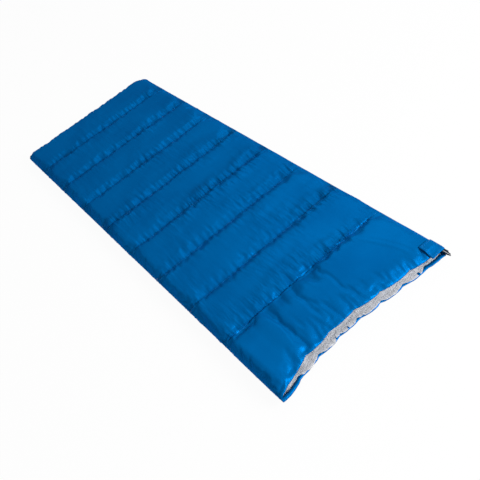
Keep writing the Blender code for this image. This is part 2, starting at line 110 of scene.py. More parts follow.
class Number:
    """A number in a shader graph, which takes part in Python sums."""

    def __init__(self, graph: "Graph", socket: Any) -> None:
        """Wrap a socket.

        Args:
            graph: the graph that the socket is in.
            socket: an output socket that carries a number.
        """
        self.graph = graph
        self.socket = socket

    def _math(self, operation: str, *values: Any) -> "Number":
        """Add a Math node and return its result."""
        node = self.graph.node("ShaderNodeMath", {"operation": operation}, dict(enumerate(values)))
        return Number(self.graph, node.outputs[0])

    def __add__(self, other: Any) -> "Number":
        """This number plus another."""
        return self._math("ADD", self, other)

    def __radd__(self, other: Any) -> "Number":
        """Another number plus this one."""
        return self._math("ADD", other, self)

    def __sub__(self, other: Any) -> "Number":
        """This number less another."""
        return self._math("SUBTRACT", self, other)

    def __rsub__(self, other: Any) -> "Number":
        """Another number less this one."""
        return self._math("SUBTRACT", other, self)

    def __mul__(self, other: Any) -> "Number":
        """This number times another."""
        return self._math("MULTIPLY", self, other)

    def __rmul__(self, other: Any) -> "Number":
        """Another number times this one."""
        return self._math("MULTIPLY", other, self)

    def __pow__(self, other: Any) -> "Number":
        """This number to a power."""
        return self._math("POWER", self, other)

    def sine(self) -> "Number":
        """The sine of this number."""
        return self._math("SINE", self)

    def step(self, low: float, high: float) -> "Number":
        """0 below low, 1 above high and smooth between."""
        settings = {"interpolation_type": "SMOOTHSTEP"}
        sockets = {"Value": self, "From Min": low, "From Max": high}
        node = self.graph.node("ShaderNodeMapRange", settings, sockets)
        return Number(self.graph, node.outputs["Result"])


class Graph:
    """A material's node tree, with its Principled shader."""

    def __init__(self, name: str) -> None:
        """Make a new material.

        Args:
            name: the material's name.
        """
        self.material = bpy.data.materials.new(name)
        self.material.use_nodes = True
        self.tree = self.material.node_tree
        self.shader = self.tree.nodes["Principled BSDF"]

    def node(self, kind: str, settings: Optional[dict] = None, sockets: Optional[dict] = None) -> Any:
        """Add any node.

        Args:
            kind: the node's type.
            settings: its own settings, made first; "stops" fills a ramp.
            sockets: values or links by socket name or number.

        Returns:
            The new node.
        """
        node = self.tree.nodes.new(kind)
        for key, value in (settings or {}).items():
            if key == "stops":
                ramp = node.color_ramp
                while len(ramp.elements) < len(value):
                    ramp.elements.new(1.0)
                for element, (place, color) in zip(ramp.elements, value):
                    element.position = place
                    element.color = (*color, 1.0)
            else:
                setattr(node, key, value)
        for key, value in (sockets or {}).items():
            self.join(value, node.inputs[key])
        return node

    def join(self, value: Any, target: Any) -> None:
        """Link a value to a socket, or set the socket to it."""
        if isinstance(value, Number):
            value = value.socket
        if isinstance(value, bpy.types.NodeSocket):
            self.tree.links.new(value, target)
        else:
            target.default_value = value

    def attribute(self, name: str) -> Number:
        """A number stored on the mesh's points."""
        node = self.node("ShaderNodeAttribute", {"attribute_name": name})
        return Number(self, node.outputs["Fac"])

    def cloth_map(self) -> tuple[Any, Number, Number]:
        """The piece's own UV map in metres, as a vector and as its two numbers."""
        vector = self.node("ShaderNodeUVMap", {"uv_map": "cloth"}).outputs["UV"]
        parts = self.node("ShaderNodeSeparateXYZ", None, {"Vector": vector})
        return vector, Number(self, parts.outputs["X"]), Number(self, parts.outputs["Y"])

    def object_map(self) -> tuple[Any, Number, Number, Number]:
        """Object coordinates in metres, as a vector and as its three numbers."""
        vector = self.node("ShaderNodeTexCoord").outputs["Object"]
        parts = self.node("ShaderNodeSeparateXYZ", None, {"Vector": vector})
        return (vector, *(Number(self, parts.outputs[axis]) for axis in "XYZ"))

    def stretched(self, vector: Any, scale: tuple[float, float, float]) -> Any:
        """A vector with each part scaled."""
        node = self.node("ShaderNodeVectorMath", {"operation": "MULTIPLY"}, {0: vector, 1: scale})
        return node.outputs["Vector"]

    def noise(self, vector: Any, scale: float, detail: float = 2.0, roughness: float = 0.5) -> Number:
        """Smooth noise from 0 to 1."""
        sockets = {"Vector": vector, "Scale": scale, "Detail": detail, "Roughness": roughness}
        return Number(self, self.node("ShaderNodeTexNoise", None, sockets).outputs["Fac"])

    def mix(self, factor: Any, first: Any, second: Any) -> Any:
        """A colour between two others."""
        node = self.node("ShaderNodeMix", {"data_type": "RGBA"})
        self.join(factor, node.inputs[0])
        for value, target in ((first, node.inputs[6]), (second, node.inputs[7])):
            self.join((*value, 1.0) if isinstance(value, tuple) else value, target)
        return node.outputs[2]

    def bump(self, height: Number, distance: float, strength: float = 1.0) -> None:
        """Feed a height to the shader's normal."""
        sockets = {"Height": height, "Distance": distance, "Strength": strength}
        node = self.node("ShaderNodeBump", None, sockets)
        self.join(node.outputs["Normal"], self.shader.inputs["Normal"])

    def set(self, **values: Any) -> None:
        """Set or link the shader's sockets, with _ for a space in a name."""
        for key, value in values.items():
            self.join(value, self.shader.inputs[key.replace("_", " ")])


@dataclass(frozen=True)
class TaffetaFinish:
    """Satin polyester taffeta: a fine plain weave with soft wrinkles, with painted shade in the stitched
    valleys and in the troughs of the gathers.
    """

    name: str
    color: tuple[float, float, float]
    deep: tuple[float, float, float]
    roughness: float = 0.37
    weave: float = 0.0009
    wrinkles: bool = True

    def build(self) -> bpy.types.Material:
        """Make the material.

        Returns:
            The new material.
        """
        graph = Graph(self.name)
        vector, u, v = graph.cloth_map()
        turn = 2 * math.pi / self.weave
        weave = (u * turn).sine() * (v * turn).sine()
        broad = graph.noise(vector, 5.0, 3.0)
        slubs = graph.noise(graph.stretched(vector, (60.0, 900.0, 1.0)), 1.0, 2.0)
        # random tone pulls the base colour towards the darker colour; with wrinkles on, painted shade does
        # too
        tone_and_painted_shade = broad.step(0.3, 0.72) * 0.35 + slubs * 0.18
        height = weave * 0.000020 + slubs * 0.00003
        if self.wrinkles:
            near = graph.attribute("near_seam")
            gathers = graph.noise(graph.stretched(vector, (52.0, 10.0, 1.0)), 1.0, 2.5, 0.5)
            creases = graph.noise(graph.stretched(vector, (22.0, 15.0, 1.0)), 1.0, 3.0, 0.5)
            lively = graph.noise(graph.stretched(vector, (3.4, 5.5, 1.0)), 1.0, 2.0).step(0.36, 0.66)
            pull = (near + graph.attribute("quilted") * 0.12) * (lively + 0.22)
            height = height + gathers * pull * 0.0155 + creases * lively * pull * 0.012
            # painted shade: darker close to the seams and where the gathers dip, following the bump
            tone_and_painted_shade = tone_and_painted_shade + (near ** 6.0) * 0.5 + (0.5 - gathers) * pull * 1.5
        graph.set(Base_Color=graph.mix(tone_and_painted_shade, self.color, self.deep))
        graph.set(Roughness=self.roughness + broad * 0.10 - slubs * 0.05)
        graph.set(Metallic=0.32, Specular_IOR_Level=0.0, Specular_Tint=(0.0, 0.45, 1.0, 1.0))
        graph.set(Sheen_Weight=0.06, Sheen_Roughness=0.4, Sheen_Tint=(0.1, 0.5, 1.0, 1.0))
        graph.bump(height, 1.0)
        return graph.material


@dataclass(frozen=True)
class MarlFinish:
    """Matt marled lining: light yarn flecked with darker and paler fibres, brushed a little, with painted
    shade near the seams.
    """

    name: str
    color: tuple[float, float, float] = (0.56, 0.57, 0.60)
    # the dark fleck colour, which the seams also mix towards as painted shade
    fleck_and_seam_shade: tuple[float, float, float] = (0.20, 0.21, 0.24)
    pale: tuple[float, float, float] = (0.80, 0.80, 0.82)

    def build(self) -> bpy.types.Material:
        """Make the material.

        Returns:
            The new material.
        """
        graph = Graph(self.name)
        vector, u, v = graph.cloth_map()
        dark = graph.noise(graph.stretched(vector, (520.0, 210.0, 1.0)), 1.0, 3.0, 0.7)
        light = graph.noise(graph.stretched(vector, (300.0, 640.0, 1.0)), 1.0, 2.0, 0.6)
        patches = graph.noise(vector, 130.0, 4.0, 0.7)
        rumples = graph.noise(vector, 32.0, 3.0, 0.6)
        near = graph.attribute("near_seam")
        turn = 2 * math.pi / 0.0016
        weave = (u * turn).sine() * (v * turn).sine()
        # dark flecks and patches are the yarn's own tone; the near_seam term is painted shade along the
        # seams
        tone_and_painted_shade = dark.step(0.5, 0.66) * 0.5 + patches.step(0.45, 0.7) * 0.45 + near ** 5.0 * 0.4
        base = graph.mix(tone_and_painted_shade, self.color, self.fleck_and_seam_shade)
        graph.set(Base_Color=graph.mix(light.step(0.55, 0.75) * 0.6, base, self.pale))
        graph.set(Roughness=0.82 + patches * 0.12, Sheen_Weight=0.35, Sheen_Roughness=0.6)
        graph.bump(weave * 0.00006 + dark * 0.0004 + patches * 0.0030 + rumples * 0.0100, 1.0)
        return graph.material


@dataclass(frozen=True)
class TapeFinish:
    """Woven zip tape: a close twill with ribs along its length."""

    name: str
    color: tuple[float, float, float] = (0.010, 0.013, 0.030)

    def build(self) -> bpy.types.Material:
        """Make the material.

        Returns:
            The new material.
        """
        graph = Graph(self.name)
        vector, x, y, z = graph.object_map()
        ribs = (z * (2 * math.pi / 0.0012)).sine()
        twill = ((x + y + z) * (2 * math.pi / 0.0009)).sine()
        fuzz = graph.noise(vector, 900.0, 3.0)
        pale = tuple(part * 2.6 + 0.01 for part in self.color)
        graph.set(Base_Color=graph.mix(fuzz * 0.6 + ribs * 0.08, self.color, pale))
        graph.set(Roughness=0.72 + fuzz * 0.2, Sheen_Weight=0.15)
        graph.bump(ribs * 0.00008 + twill * 0.00005 + fuzz * 0.00008, 1.0)
        return graph.material


@dataclass(frozen=True)
class HardFinish:
    """Cast metal or moulded plastic, with a fine grain and paler, smoother rubbed places."""

    name: str
    color: tuple[float, float, float]
    worn: tuple[float, float, float]
    roughness: float
    metallic: float

    def build(self) -> bpy.types.Material:
        """Make the material.

        Returns:
            The new material.
        """
        graph = Graph(self.name)
        vector = graph.object_map()[0]
        grain = graph.noise(vector, 2600.0, 2.0)
        rubbed = graph.noise(vector, 260.0, 4.0, 0.65).step(0.56, 0.74)
        graph.set(Base_Color=graph.mix(rubbed * 0.7, self.color, self.worn), Metallic=self.metallic)
        graph.set(Roughness=self.roughness + grain * 0.16 - rubbed * 0.12)
        graph.bump(grain * 0.00004 - rubbed * 0.00003, 1.0)
        return graph.material


@dataclass(frozen=True)
class PileFinish:
    """Hook-and-loop pile, stiff fibres standing on a close ground."""

    name: str
    color: tuple[float, float, float] = (0.008, 0.018, 0.050)

    def build(self) -> bpy.types.Material:
        """Make the material.

        Returns:
            The new material.
        """
        graph = Graph(self.name)
        vector = graph.object_map()[0]
        fibres = graph.noise(vector, 1400.0, 4.0, 0.8)
        pale = tuple(part * 3.0 + 0.02 for part in self.color)
        graph.set(Base_Color=graph.mix(fibres.step(0.4, 0.75), self.color, pale), Roughness=0.95)
        graph.bump(fibres * 0.0006, 1.0)
        return graph.material


@dataclass(frozen=True)
class WoolFinish:
    """Fibre wadding: off-white, matt and tangled."""

    name: str

    def build(self) -> bpy.types.Material:
        """Make the material.

        Returns:
            The new material.
        """
        graph = Graph(self.name)
        vector = graph.object_map()[0]
        strands = graph.noise(graph.stretched(vector, (40.0, 300.0, 200.0)), 1.0, 5.0, 0.7)
        graph.set(Base_Color=graph.mix(strands, (0.70, 0.70, 0.69), (0.90, 0.90, 0.88)), Roughness=0.95)
        graph.bump(strands * 0.002, 1.0)
        return graph.material


@dataclass
class Finishes:
    """Every finish of the bag, made once."""

    # the second taffeta colour is a darker tone, which also carries the painted shade at the seams and
    # gathers
    shell: bpy.types.Material = field(default_factory=lambda: TaffetaFinish(
        "blue taffeta", (0.0, 0.132, 0.405), (0.0, 0.078, 0.270)).build())
    trim: bpy.types.Material = field(default_factory=lambda: TaffetaFinish(
        "blue taffeta trim", (0.0, 0.132, 0.405), (0.0, 0.078, 0.270), 0.5, 0.0008, False).build())
    lining: bpy.types.Material = field(default_factory=lambda: MarlFinish("marled lining").build())
    label: bpy.types.Material = field(default_factory=lambda: TapeFinish(
        "label satin", (0.30, 0.30, 0.29)).build())
    tape: bpy.types.Material = field(default_factory=lambda: TapeFinish("zip tape").build())
    coil: bpy.types.Material = field(default_factory=lambda: HardFinish(
        "zip coil", (0.012, 0.013, 0.018), (0.05, 0.05, 0.06), 0.38, 0.0).build())
    metal: bpy.types.Material = field(default_factory=lambda: HardFinish(
        "dark enamel", (0.012, 0.075, 0.130), (0.16, 0.24, 0.30), 0.34, 0.6).build())
    pile: bpy.types.Material = field(default_factory=lambda: PileFinish("pile").build())
    wool: bpy.types.Material = field(default_factory=lambda: WoolFinish("wadding").build())
    thread: bpy.types.Material = field(default_factory=lambda: TapeFinish(
        "blue thread", (0.0, 0.16, 0.46)).build())


# ---------------------------------------------------------------- the bag's lay-out


@dataclass(frozen=True)
class Layout:
    """Places and sizes of the quilted halves, read from the frame."""

    fold_x: float
    zip_x: float
    mouth_y: float
    foot_y: float
    middle: float
    lining_face: float
    loft: float
    channels: int = 9
    mouth_channel: float = 0.269
    upper_bow: float = 0.052
    lower_bow: float = 0.042
    corner_radius: float = 0.060
    seam_thickness: float = 0.0185
    edge_thickness: float = 0.012
    mouth_thickness: float = 0.010
    fold_bulge: float = 0.036
    zip_slope: float = 0.090

    @classmethod
    def from_frame(cls, joints: list[dict]) -> "Layout":
        """Read the places off the frame.

        Args:
            joints: the frame's joints.

        Returns:
            The lay-out.
        """
        low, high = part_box("upper_shell")
        middle = next(joint["pos_m"][2] for joint in joints if joint["name"] == "fold_hinge")
        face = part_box("upper_lining")[0].z - middle
        return cls(low.x, high.x, low.y, high.y, middle, face, high.z - middle - face)

    @property
    def seams(self) -> list[float]:
        """The y of each quilted seam, from the mouth to the foot."""
        pitch = (self.foot_y - self.mouth_y - self.mouth_channel) / (self.channels - 1)
        return [self.mouth_y + self.mouth_channel + pitch * i for i in range(self.channels - 1)]

    @property
    def lines(self) -> list[float]:
        """The seams, with the mouth before them and the foot after them."""
        return [self.mouth_y, *self.seams, self.foot_y]

    def bow(self, half: Half) -> float:
        """How far the middle of a half's mouth edge lies behind its corners."""
        return self.upper_bow if half is Half.UPPER else self.lower_bow

    def mouth_shift(self, x: float, y: float, bow: float) -> float:
        """How far a point near the mouth is drawn back by the bow of the mouth edge."""
        across = min(max((x - self.fold_x) / (self.zip_x - self.fold_x), 0.0), 1.0)
        fading = min(max((self.seams[0] - y) / self.mouth_channel, 0.0), 1.0)
        places, depths = zip(*BOW_SHAPE)
        return bow * float(np.interp(across, places, depths)) * fading

    def rounded(self, x: float, y: float) -> tuple[float, float]:
        """Pull a point of the foot's zip corner onto the rounded plan."""
        across = x - self.zip_x + self.corner_radius
        along = y - self.foot_y + self.corner_radius
        if across <= 0 or along <= 0:
            return x, y
        scale = max(across, along) / math.hypot(across, along) - 1.0
        return x + across * scale, y + along * scale

    def seam_distance(self, y: float) -> tuple[float, float]:
        """How far y is from the nearest line, and half the width of its channel."""
        lines = self.lines
        for front, back in zip(lines, lines[1:]):
            if y <= back + 1e-9:
                return min(y - front, back - y), (back - front) / 2
        return 0.0, (lines[-1] - lines[-2]) / 2

    def thickness(self, x: float, y: float) -> float:
        """Thickness of a half at a point of its plan, before the rounding at the fold."""
        distance, half_width = self.seam_distance(y)
        rise = math.sin(math.pi / 2 * min(max(distance / min(half_width, 0.08), 0.0), 1.0)) ** 0.60
        low = self.seam_thickness
        if y < (self.mouth_y + self.seams[0]) / 2:
            low = self.mouth_thickness
            rise = min(max(distance / 0.105, 0.0), 1.0)
            rise = math.sin(math.pi / 2 * rise) ** 0.85
        elif y > (self.seams[-1] + self.foot_y) / 2:
            low = self.edge_thickness
        crown = low + (self.loft - low) * rise
        share = min(max((self.zip_x - x) / self.zip_slope, 0.0), 1.0)
        eased = math.sqrt(1.0 - (1.0 - share) ** 2)
        return self.edge_thickness + (crown - self.edge_thickness) * eased


def smooth_noise(place: tuple[float, float, float], scale: float) -> float:
    """Smooth noise from -1 to 1 that is the same on every run."""
    return noise.noise(Vector(place) * scale)


def new_piece(name: str, grid: bmesh.types.BMesh, materials: Iterable[Any], smooth: bool = True) -> Any:
    """Turn a bmesh into a linked object and free it.

    Args:
        name: the piece's name.
        grid: its mesh, in place.
        materials: its materials.
        smooth: whether its faces are shaded smooth.

    Returns:
        The new object.
    """
    mesh = bpy.data.meshes.new(name)
    grid.to_mesh(mesh)
    grid.free()
    for material in materials:
        mesh.materials.append(material)
    if smooth:
        mesh.shade_smooth()
    piece = bpy.data.objects.new(name, mesh)
    bpy.context.scene.collection.objects.link(piece)
    return piece


def unwrap(grid: bmesh.types.BMesh, place: Callable[[Vector], tuple[float, float]]) -> None:
    """Give a bmesh the UV map named cloth, in metres, from its points."""
    layer = grid.loops.layers.uv.new("cloth")
    for face in grid.faces:
        for loop in face.loops:
            loop[layer].uv = place(loop.vert.co)


# ---------------------------------------------------------------- the quilt


@dataclass
class QuiltedCloth:
    """The cloth over one half, simulated between its stitched lines."""

    layout: Layout
    cell: float = 0.0064
    fold_steps: int = 11
    slack: float = 0.050
    most_travel: float = 0.0065
    frames: int = 20
    across: list[tuple[float, float]] = field(init=False)
    along: list[float] = field(init=False)
    seam_rows: list[int] = field(init=False)
    shape: tuple[int, int] = field(init=False)
    points: np.ndarray = field(init=False)
    held: np.ndarray = field(init=False)
    near: np.ndarray = field(init=False)

    def columns(self) -> list[tuple[float, float]]:
        """Each line of points along the bag: its x, and the share of the thickness at the fold."""
        lay = self.layout
        turns = [math.pi / 2 * i / self.fold_steps for i in range(self.fold_steps)]
        kept = [(lay.fold_x + lay.fold_bulge * (1 - math.cos(t)), math.sin(t)) for t in turns]
        start = lay.fold_x + lay.fold_bulge
        steps = round((lay.zip_x - start) / self.cell)
        kept += [(start + (lay.zip_x - start) * i / steps, 1.0) for i in range(steps + 1)]
        return kept

    def rows(self) -> tuple[list[float], list[int]]:
        """The y of each line of points across the bag, and which of them are seams."""
        kept: list[float] = []
        seams: list[int] = []
        for front, back in zip(self.layout.lines, self.layout.lines[1:]):
            steps = 2 * round((back - front) / self.cell / 2)
            seams.append(len(kept))
            kept += [front + (back - front) * i / steps for i in range(steps)]
        seams.append(len(kept))
        kept.append(self.layout.foot_y)
        return kept, seams

    def mouth_folds(self, x: float, y: float) -> float:
        """Soft slanting folds of the panel at the mouth, which no seam crosses."""
        lay = self.layout
        if y > lay.seams[0]:
            return 0.0
        slant = smooth_noise((x * 7.0 + y * 4.0, y * 2.0 - x * 1.1, 2.0), 1.0) * 0.0034
        upright = smooth_noise((x * 22.0, y * 3.0, 6.0), 1.0) * 0.0070
        near_fold = max(1.0 - (x - lay.fold_x) / 0.22, 0.0)
        ridge = 0.0
        share = (y - lay.mouth_y - 0.03) / (lay.mouth_channel - 0.05)
        if 0.0 < share < 1.0:
            line = lay.zip_x - 0.066 - 0.075 * share ** 1.6
            for offset in (0.0, 0.020):
                ridge += math.exp(-((x - line + offset) / 0.0055) ** 2) * math.sin(math.pi * share) ** 0.5
        return slant + upright * near_fold + 0.0045 * ridge

    def lay_out(self) -> None:
        """Work out where each point of the cloth starts, and which points are held."""
        lay = self.layout
        self.across, (self.along, self.seam_rows) = self.columns(), self.rows()
        self.shape = (len(self.along), len(self.across))
        points = np.zeros((*self.shape, 3))
        held = np.zeros(self.shape)
        near = np.zeros(self.shape)
        for j, y in enumerate(self.along):
            distance, half_width = lay.seam_distance(y)
            for i, (x, share) in enumerate(self.across):
                wobble = smooth_noise((x, y, 0.0), 7.0) * 0.0022 * min(distance / 0.03, 1.0)
                wobble += smooth_noise((x, y * 0.2, 9.0), 75.0) * 0.0022 * math.exp(-distance / 0.04)
                wobble += self.mouth_folds(x, y) * min(distance / 0.05, 1.0)
                top = lay.thickness(x, y) * share + wobble
                plan = lay.rounded(x, y)
                sway = 0.0022 * smooth_noise((x, round(y * 40) * 3.1, 5.0), 9.0) if 0 < i else 0.0
                shifted = plan[1] + lay.mouth_shift(x, y, lay.upper_bow)
                if lay.mouth_y < y < lay.foot_y:
                    shifted += sway * math.exp(-distance / 0.05)
                points[j, i] = (plan[0], shifted, lay.middle + lay.lining_face + max(top, 0.0))
                near[j, i] = math.exp(-distance / 0.034) * (1.0 if y > lay.seams[0] else 0.25)
        held[self.seam_rows, :] = 1.0
        held[:, 0] = held[:, -1] = 1.0
        self.points, self.held, self.near = points, held, near

    def mesh_piece(self) -> Any:
        """The cloth as it starts, as an object for the simulation."""
        grid = bmesh.new()
        rows, columns = self.shape
        bmesh.ops.create_grid(grid, x_segments=columns - 1, y_segments=rows - 1, size=0.5)
        piece = new_piece("cloth_start", grid, ())
        piece.data.vertices.foreach_set("co", self.points.reshape(-1).astype(np.float32))
        piece.data.update()
        return piece

    def simulate(self) -> None:
        """Let the slack cloth puff and pucker between its seams, and keep how it lies."""
        self.lay_out()
        piece = self.mesh_piece()
        group = piece.vertex_groups.new(name="stitched")
        flat = self.held.reshape(-1)
        group.add([int(i) for i in np.nonzero(flat > 0)[0]], 1.0, "REPLACE")
        cloth = piece.modifiers.new("cloth", "CLOTH")
        settings = cloth.settings
        settings.quality = 5
        settings.mass = 0.12
        settings.tension_stiffness = 20.0
        settings.compression_stiffness = 20.0
        settings.shear_stiffness = 4.0
        settings.bending_stiffness = 0.02
        settings.air_damping = 2.0
        settings.vertex_group_mass = "stitched"
        settings.shrink_min = -self.slack
        settings.use_pressure = True
        settings.uniform_pressure_force = 4.0
        settings.effector_weights.gravity = 0.0
        cloth.collision_settings.use_collision = False
        cloth.point_cache.frame_start = 1
        cloth.point_cache.frame_end = self.frames
        scene = bpy.context.scene
        for frame in range(1, self.frames + 1):
            scene.frame_set(frame)
        evaluated = piece.evaluated_get(bpy.context.evaluated_depsgraph_get())
        found = np.empty(len(flat) * 3, np.float32)
        evaluated.data.vertices.foreach_get("co", found)
        travel = found.reshape(*self.shape, 3) - self.points
        length = np.linalg.norm(travel, axis=2, keepdims=True)
        travel *= np.minimum(1.0, self.most_travel / np.maximum(length, 1e-9))
        self.points = self.points + travel
        scene.frame_set(1)
        bpy.data.objects.remove(piece)


@dataclass
class QuiltedBag:
    """The outer cloth of both halves as one piece round the fold, and the lining of each."""

    layout: Layout
    finishes: Finishes
    cloth: QuiltedCloth
    skirt: float = 0.0062
    fold_band: float = 0.0030
    lining_relief: float = 0.85
    lip_drop: float = 0.0060
    scallop: float = 0.0095
    full_height: float = 0.0735

    def scallops(self, x: float, pitch: float) -> float:
        """How far the mouth edge is drawn in between its tacks, from 0 to 1."""
        swing = abs(math.sin(math.pi * (x + 0.014 * smooth_noise((x, 3.0, 1.0), 6.0)) / pitch))
        return swing ** 0.5

    def half_points(self, half: Half) -> np.ndarray:
        """The simulated surface as it lies on one half, with that half's mouth edge."""
        lay = self.layout
        points = self.cloth.points.copy()
        for j, y in enumerate(self.cloth.along):
            if y > lay.seams[0]:
                break
            near = max(1.0 - (y - lay.mouth_y) / 0.06, 0.0) ** 1.5
            for i, (x, _) in enumerate(self.cloth.across):
                inward = min((x - lay.fold_x) / 0.08, (lay.zip_x - x) / 0.11, 1.0)
                points[j, i, 1] += lay.mouth_shift(x, y, lay.bow(half))
                points[j, i, 1] -= lay.mouth_shift(x, y, lay.upper_bow)
                drawn = self.scallops(x, 0.104 if half is Half.UPPER else 0.086) * near * inward
                points[j, i, 1] += self.scallop * (near * inward - drawn)
                if half is Half.LOWER:
                    points[j, i, 2] += self.lip_drop * near * inward
        over = np.maximum(points[:, :, 2] - self.full_height, 0.0)
        points[:, :, 2] -= 0.6 * over
        if half is Half.LOWER:
            points[:, :, 2] = 2 * lay.middle - points[:, :, 2]
            points[:, :, 2] = np.maximum(points[:, :, 2], 0.0006)
        return points

    def add_sheet(self, grid: bmesh.types.BMesh, points: np.ndarray, rows: list[int],
                  columns: list[int], flip: bool) -> list[Any]:
        """Add a sheet through some of a grid's points, with its cloth map and closeness to a seam.

        Args:
            grid: where the sheet is added.
            points: rows by columns by three places.
            rows: which rows to keep.
            columns: which columns to keep.
            flip: whether the sheet faces down.

        Returns:
            The sheet's points, row by row.
        """
        bmesh.ops.create_grid(grid, x_segments=len(columns) - 1, y_segments=len(rows) - 1, size=0.5)
        numbers = grid.verts.layers.float
        near = numbers.get("near_seam") or numbers.new("near_seam")
        quilted = numbers.get("quilted") or numbers.new("quilted")
        place = grid.verts.layers.float_vector
        place = place.get("nominal") or place.new("nominal")
        grid.verts.ensure_lookup_table()
        made = list(grid.verts)[-len(rows) * len(columns):]
        for index, vert in enumerate(made):
            j, i = divmod(index, len(columns))
            vert.co = Vector(points[rows[j], columns[i]])
            vert[near] = self.cloth.near[rows[j], columns[i]]
            vert[quilted] = float(self.cloth.along[rows[j]] > self.layout.seams[0])
            vert[place] = Vector((self.cloth.across[columns[i]][0], self.cloth.along[rows[j]], 0))
        if flip:
            bmesh.ops.reverse_faces(grid, faces=list({face for vert in made for face in vert.link_faces}))
        return made

    def map_cloth(self, grid: bmesh.types.BMesh) -> None:
        """Unwrap a sheet in metres, from where each point lies in the flat cloth."""
        nominal = grid.verts.layers.float_vector["nominal"]
        layer = grid.loops.layers.uv.new("cloth")
        for face in grid.faces:
            for loop in face.loops:
                loop[layer].uv = loop.vert[nominal].xy

    def edge_of(self, grid: bmesh.types.BMesh, verts: set[Any], side: str) -> list[Any]:
        """The open edges along one side of a sheet: fold, outer, or mouth."""
        lay = self.layout
        nominal = grid.verts.layers.float_vector["nominal"]
        kept = []
        for edge in grid.edges:
            if not edge.is_boundary or not all(vert in verts for vert in edge.verts):
                continue
            xs = [vert[nominal].x for vert in edge.verts]
            ys = [vert[nominal].y for vert in edge.verts]
            at_fold = max(xs) < lay.fold_x + 1e-4
            at_outer = min(xs) > lay.zip_x - 1e-4 or min(ys) > lay.foot_y - 1e-4
            found = "fold" if at_fold else "outer" if at_outer else "mouth"
            if found == side:
                kept.append(edge)
        return kept

    @staticmethod
    def drawn_out(grid: bmesh.types.BMesh, edges: list[Any], move: Callable[[Any], Any]) -> list[Any]:
        """Extrude some open edges, and return the new open edges.

        Args:
            grid: the mesh.
            edges: open edges.
            move: gives each new point's place.
        """
        made = bmesh.ops.extrude_edge_only(grid, edges=edges)["geom"]
        for item in made:
            if isinstance(item, bmesh.types.BMVert):
                item.co = move(item)
        return [item for item in made if isinstance(item, bmesh.types.BMEdge) and item.is_boundary
                and not set(item.verts) & {vert for edge in edges for vert in edge.verts}]

    def level(self, height: float) -> Callable[[Any], Any]:
        """A move to one height above or below the middle plane, on the point's own side."""
        middle = self.layout.middle

        def move(vert: Any) -> Vector:
            """The point at that height, or at its own where it is lower."""
            side = 1.0 if vert.co.z > middle else -1.0
            kept = min(height, abs(vert.co.z - middle))
            return Vector((vert.co.x, vert.co.y, middle + side * kept))

        return move

    def shell(self) -> Any:
        """The outer cloth: both quilted surfaces, joined round the fold and turned in at their edges.

        Returns:
            The piece, blended between the two halves.
        """
        lay = self.layout
        grid = bmesh.new()
        count = len(self.cloth.across)
        rows = list(range(len(self.cloth.along)))
        sparse = sorted({*range(self.cloth.fold_steps), *range(self.cloth.fold_steps, count, 2), count - 1})
        for half, columns in ((Half.UPPER, list(range(count))), (Half.LOWER, sparse)):
            made = self.add_sheet(grid, self.half_points(half), rows, columns, half is Half.LOWER)
            own = set(made)
            outer = self.edge_of(grid, own, "outer")
            fold = self.edge_of(grid, own, "fold")
            mouth = self.edge_of(grid, own, "mouth")
            turned = self.drawn_out(grid, outer, self.level(lay.lining_face + lay.edge_thickness - 0.0028))
            self.drawn_out(grid, turned, self.level(lay.lining_face + lay.edge_thickness - self.skirt))
            spine = self.drawn_out(grid, fold, self.level(self.fold_band * 1.1))
            self.drawn_out(grid, spine, self.level(0.0))
            sign = half.value
            nominal = grid.verts.layers.float_vector["nominal"]
            for back, down in UPPER_HEM if half is Half.UPPER else LOWER_HEM:
                def move(vert: Any, back: float = back, down: float = down) -> Vector:
                    """One turn of the hem, which is taller near the fold on the lower half."""
                    near_fold = max(1.0 - (vert[nominal].x - lay.fold_x) / 0.10, 0.0)
                    more = 1.0 + 1.3 * near_fold if half is Half.LOWER else 1.0
                    return vert.co + Vector((0, back, -sign * down * more))

                mouth = self.drawn_out(grid, mouth, move)
        bmesh.ops.remove_doubles(grid, verts=grid.verts, dist=0.00005)
        self.map_cloth(grid)
        piece = new_piece("quilt_shell", grid, [self.finishes.shell])
        self.thicken(piece, 0.0005)
        middle = Vector((lay.fold_x, 0, lay.middle))
        band = Vector((0, 0, self.fold_band))
        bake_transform(piece, "lower", "upper", start=middle - band, end=middle + band)
        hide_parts("upper_shell", "lower_shell", "fold_strip", "upper_mouth_hem")
        return piece

    @staticmethod
    def thicken(piece: Any, wall: float) -> None:
        """Give a sheet its wall, inwards."""
        solidify = piece.modifiers.new("wall", "SOLIDIFY")
        solidify.thickness = wall
        solidify.offset = -1.0

